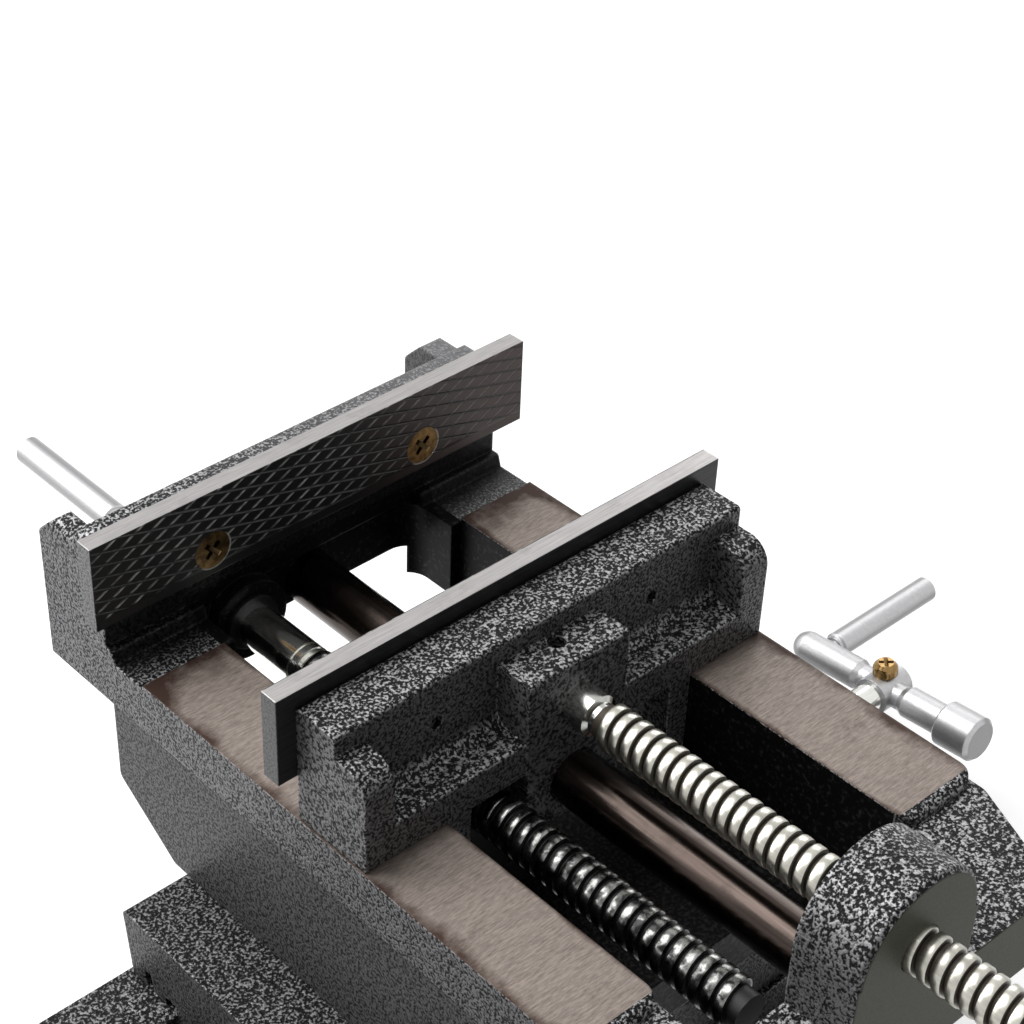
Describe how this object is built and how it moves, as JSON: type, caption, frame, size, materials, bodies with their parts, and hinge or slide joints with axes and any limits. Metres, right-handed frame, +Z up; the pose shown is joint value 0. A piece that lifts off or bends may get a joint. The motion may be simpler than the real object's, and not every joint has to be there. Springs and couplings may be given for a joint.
{
  "type": "cross slide vise",
  "caption": "Cross slide vise: jawed vise bed on crossed dovetail slides, each moved by a hand-cranked screw.",
  "frame": {"origin": "centre of the base's underside, on the machine table", "axes": "+X along the cross travel towards the cross crank, +Y along the long travel from the moving jaw towards the fixed jaw, +Z up"},
  "size_m": [0.338, 0.4387, 0.1672],
  "materials": {
    "hammertone_casting": "grey and black hammertone paint, machined bare on the ways",
    "ground_plate": "ground top, dark knurled face",
    "bright_screw": "bright turned thread",
    "oiled_steel": "dark oiled steel",
    "satin_aluminium": "satin",
    "brass": "yellow passivated",
    "bronze": "machined bronze",
    "black_fastener": "black oxide"
  },
  "bodies": {
    "base_body": {"base": "hammertone_casting", "cross_bearing_bracket": "hammertone_casting", "cross_bracket_screws": "black_fastener", "cross_gib": "oiled_steel", "cross_gib_screws": "black_fastener", "cross_gib_lock_nuts": "black_fastener"},
    "cross_screw_body": {"cross_screw": "bright_screw", "cross_dial": "satin_aluminium", "cross_crank_arm": "satin_aluminium", "cross_crank_end_cap": "satin_aluminium", "cross_crank_grip": "satin_aluminium", "cross_crank_lock_screw": "brass"},
    "saddle_body": {"saddle": "hammertone_casting", "cross_nut": "bronze", "cross_nut_screws": "black_fastener", "long_nut": "oiled_steel", "long_nut_screws": "black_fastener"},
    "bed_body": {"vise_bed": "hammertone_casting", "long_gib": "oiled_steel", "long_gib_screws": "black_fastener", "long_gib_lock_nuts": "black_fastener", "guide_rod": "oiled_steel", "fixed_jaw_plate": "ground_plate", "fixed_plate_screws": "brass"},
    "long_screw_body": {"long_screw": "oiled_steel", "long_retaining_ring": "black_fastener", "long_dial": "satin_aluminium", "long_crank_arm": "satin_aluminium", "long_crank_end_cap": "satin_aluminium", "long_crank_grip": "satin_aluminium", "long_crank_lock_screw": "brass"},
    "moving_jaw_body": {"moving_jaw": "hammertone_casting", "moving_jaw_plate": "ground_plate", "moving_plate_screws": "brass", "keeper_strips": "oiled_steel", "keeper_screws": "black_fastener", "jaw_set_screw": "black_fastener"},
    "vise_screw_body": {"vise_screw": "bright_screw", "vise_crank_arm": "satin_aluminium", "vise_crank_end_cap": "satin_aluminium", "vise_crank_grip": "satin_aluminium", "vise_crank_lock_screw": "brass"}
  },
  "joints": [
    {"name": "cross_slide", "type": "slide", "parent": "base_body", "child": "saddle_body", "axis": [1, 0, 0], "range_m": [-0.055, 0.032]},
    {"name": "cross_screw_spin", "type": "hinge", "parent": "base_body", "child": "cross_screw_body", "pos_m": [0.13, 0, 0.0332], "axis": [1, 0, 0], "range_deg": [-2881, 4951]},
    {"name": "long_slide", "type": "slide", "parent": "saddle_body", "child": "bed_body", "axis": [0, 1, 0], "range_m": [-0.05, 0.06]},
    {"name": "long_screw_spin", "type": "hinge", "parent": "bed_body", "child": "long_screw_body", "pos_m": [-0.025, 0.105, 0.1064], "axis": [0, 1, 0], "range_deg": [-4501, 5401]},
    {"name": "jaw_slide", "type": "slide", "parent": "bed_body", "child": "moving_jaw_body", "axis": [0, 1, 0], "range_m": [-0.07, 0.0708]},
    {"name": "vise_screw_spin", "type": "hinge", "parent": "moving_jaw_body", "child": "vise_screw_body", "pos_m": [0, -0.02, 0.1315], "axis": [0, 1, 0], "range_deg": [-6301, 6373]}
  ],
  "couplings": [
    {"joint": "cross_screw_spin", "follows": "cross_slide", "rad_per_m": -1570.8},
    {"joint": "long_screw_spin", "follows": "long_slide", "rad_per_m": 1570.8},
    {"joint": "vise_screw_spin", "follows": "jaw_slide", "rad_per_m": 1570.8}
  ]
}
